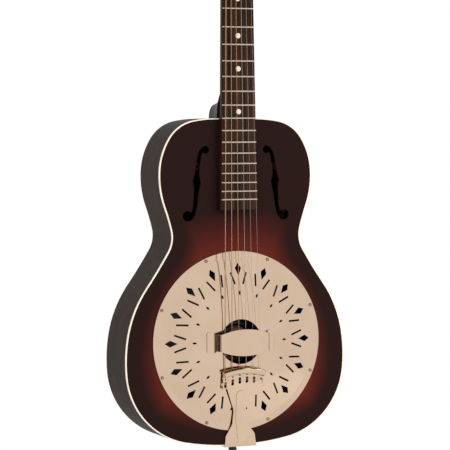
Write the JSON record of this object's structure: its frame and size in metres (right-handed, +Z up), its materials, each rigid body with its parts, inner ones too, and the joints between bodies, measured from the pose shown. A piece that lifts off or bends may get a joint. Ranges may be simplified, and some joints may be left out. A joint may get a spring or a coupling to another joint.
{
  "type": "resonator guitar",
  "caption": "Wooden-bodied resonator guitar with a round pressed cover plate over a spun cone, biscuit bridge, stamped tailpiece and open-gear tuners.",
  "frame": {"origin": "inside the neck at the nut, where the nut's front edge, the centreline and the soundboard's plane meet; the yoke of a wall hanger holds the neck here", "axes": "+Z up the neck, +X to the treble side, the soundboard faces -Y"},
  "size_m": [0.3434, 0.117, 0.9788],
  "materials": {
    "inner_wood": "bare softwood and plywood",
    "ball": "coloured metal balls",
    "maple": "bare maple",
    "steel": "plain steel",
    "body_back": "dark brown lacquer",
    "body_top": "dark brown sunburst lacquer, satin",
    "cone": "spun bare aluminium",
    "nickel": "polished nickel plate",
    "black_plastic": "black plastic",
    "fretboard": "oiled rosewood",
    "neck": "dark brown stained neck, satin lacquer",
    "frets": "polished nickel silver",
    "headstock_veneer": "near-black headplate, satin",
    "nut": "bone-coloured nut",
    "dots": "pearl dots",
    "side": "dark brown lacquer, grain showing",
    "plain_string": "tinned steel wire",
    "bronze": "phosphor bronze winding",
    "binding": "cream binding",
    "button": "cream plastic"
  },
  "bodies": {
    "guitar": {"back_braces": "inner_wood", "back_lining": "inner_wood", "ball_ends": "ball", "biscuit": "maple", "biscuit_screw": "steel", "body_back": "body_back", "body_top": "body_top", "cone": "cone", "cover_plate": "nickel", "cover_plate_screws": "nickel", "end_pin": "black_plastic", "fretboard": "fretboard", "fretboard_wedge": "neck", "frets": "frets", "headstock_veneer": "headstock_veneer", "neck": "neck", "neck_block": "inner_wood", "neck_bolts": "steel", "nut": "nut", "palm_rest": "nickel", "position_dots": "dots", "saddle": "maple", "side_bass": "side", "side_treble": "side", "soundwell": "inner_wood", "soundwell_posts": "inner_wood", "strings_plain": "plain_string", "strings_wound": "bronze", "tail_block": "inner_wood", "tailpiece": "nickel", "top_binding": "binding", "top_braces": "inner_wood", "top_lining": "inner_wood", "truss_cover_screws": "nickel", "truss_rod": "steel", "truss_rod_cover": "black_plastic", "tuner_ferrules": "nickel", "tuner_plate_screws": "nickel", "tuner_plates": "nickel"},
    "tuner_worm_1": {"tuner_worm_1": "nickel", "tuner_button_1": "button"},
    "tuner_post_1": {"tuner_post_1": "nickel"},
    "tuner_worm_2": {"tuner_worm_2": "nickel", "tuner_button_2": "button"},
    "tuner_post_2": {"tuner_post_2": "nickel"},
    "tuner_worm_3": {"tuner_worm_3": "nickel", "tuner_button_3": "button"},
    "tuner_post_3": {"tuner_post_3": "nickel"},
    "tuner_worm_4": {"tuner_worm_4": "nickel", "tuner_button_4": "button"},
    "tuner_post_4": {"tuner_post_4": "nickel"},
    "tuner_worm_5": {"tuner_worm_5": "nickel", "tuner_button_5": "button"},
    "tuner_post_5": {"tuner_post_5": "nickel"},
    "tuner_worm_6": {"tuner_worm_6": "nickel", "tuner_button_6": "button"},
    "tuner_post_6": {"tuner_post_6": "nickel"},
    "truss_rod_nut": {"truss_rod_nut": "steel"}
  },
  "joints": [
    {"name": "tuner_worm_1_turn", "type": "hinge", "parent": "guitar", "child": "tuner_worm_1", "pos_m": [-0.02, 0.02782, 0.04109], "axis": [1, 0, 0], "continuous": true},
    {"name": "tuner_post_1_turn", "type": "hinge", "parent": "guitar", "child": "tuner_post_1", "pos_m": [-0.02, 0.02463, 0.05086], "axis": [0, -0.972, 0.2351], "continuous": true},
    {"name": "tuner_worm_2_turn", "type": "hinge", "parent": "guitar", "child": "tuner_worm_2", "pos_m": [-0.02, 0.03605, 0.0751], "axis": [1, 0, 0], "continuous": true},
    {"name": "tuner_post_2_turn", "type": "hinge", "parent": "guitar", "child": "tuner_post_2", "pos_m": [-0.02, 0.03286, 0.08488], "axis": [0, -0.972, 0.2351], "continuous": true},
    {"name": "tuner_worm_3_turn", "type": "hinge", "parent": "guitar", "child": "tuner_worm_3", "pos_m": [-0.02, 0.04428, 0.10912], "axis": [1, 0, 0], "continuous": true},
    {"name": "tuner_post_3_turn", "type": "hinge", "parent": "guitar", "child": "tuner_post_3", "pos_m": [-0.02, 0.04109, 0.1189], "axis": [0, -0.972, 0.2351], "continuous": true},
    {"name": "tuner_worm_4_turn", "type": "hinge", "parent": "guitar", "child": "tuner_worm_4", "pos_m": [0.02, 0.04428, 0.10912], "axis": [1, 0, 0], "continuous": true},
    {"name": "tuner_post_4_turn", "type": "hinge", "parent": "guitar", "child": "tuner_post_4", "pos_m": [0.02, 0.04109, 0.1189], "axis": [0, -0.972, 0.2351], "continuous": true},
    {"name": "tuner_worm_5_turn", "type": "hinge", "parent": "guitar", "child": "tuner_worm_5", "pos_m": [0.02, 0.03605, 0.0751], "axis": [1, 0, 0], "continuous": true},
    {"name": "tuner_post_5_turn", "type": "hinge", "parent": "guitar", "child": "tuner_post_5", "pos_m": [0.02, 0.03286, 0.08488], "axis": [0, -0.972, 0.2351], "continuous": true},
    {"name": "tuner_worm_6_turn", "type": "hinge", "parent": "guitar", "child": "tuner_worm_6", "pos_m": [0.02, 0.02782, 0.04109], "axis": [1, 0, 0], "continuous": true},
    {"name": "tuner_post_6_turn", "type": "hinge", "parent": "guitar", "child": "tuner_post_6", "pos_m": [0.02, 0.02463, 0.05086], "axis": [0, -0.972, 0.2351], "continuous": true},
    {"name": "truss_rod_nut_turn", "type": "hinge", "parent": "guitar", "child": "truss_rod_nut", "pos_m": [0, 0.00498, 0.00738], "axis": [0, 0.0104, 0.9999], "range_deg": [-180, 180]}
  ],
  "couplings": [
    {"joint": "tuner_post_1_turn", "follows": "tuner_worm_1_turn", "ratio": -0.071429},
    {"joint": "tuner_post_2_turn", "follows": "tuner_worm_2_turn", "ratio": -0.071429},
    {"joint": "tuner_post_3_turn", "follows": "tuner_worm_3_turn", "ratio": -0.071429},
    {"joint": "tuner_post_4_turn", "follows": "tuner_worm_4_turn", "ratio": -0.071429},
    {"joint": "tuner_post_5_turn", "follows": "tuner_worm_5_turn", "ratio": -0.071429},
    {"joint": "tuner_post_6_turn", "follows": "tuner_worm_6_turn", "ratio": -0.071429}
  ]
}
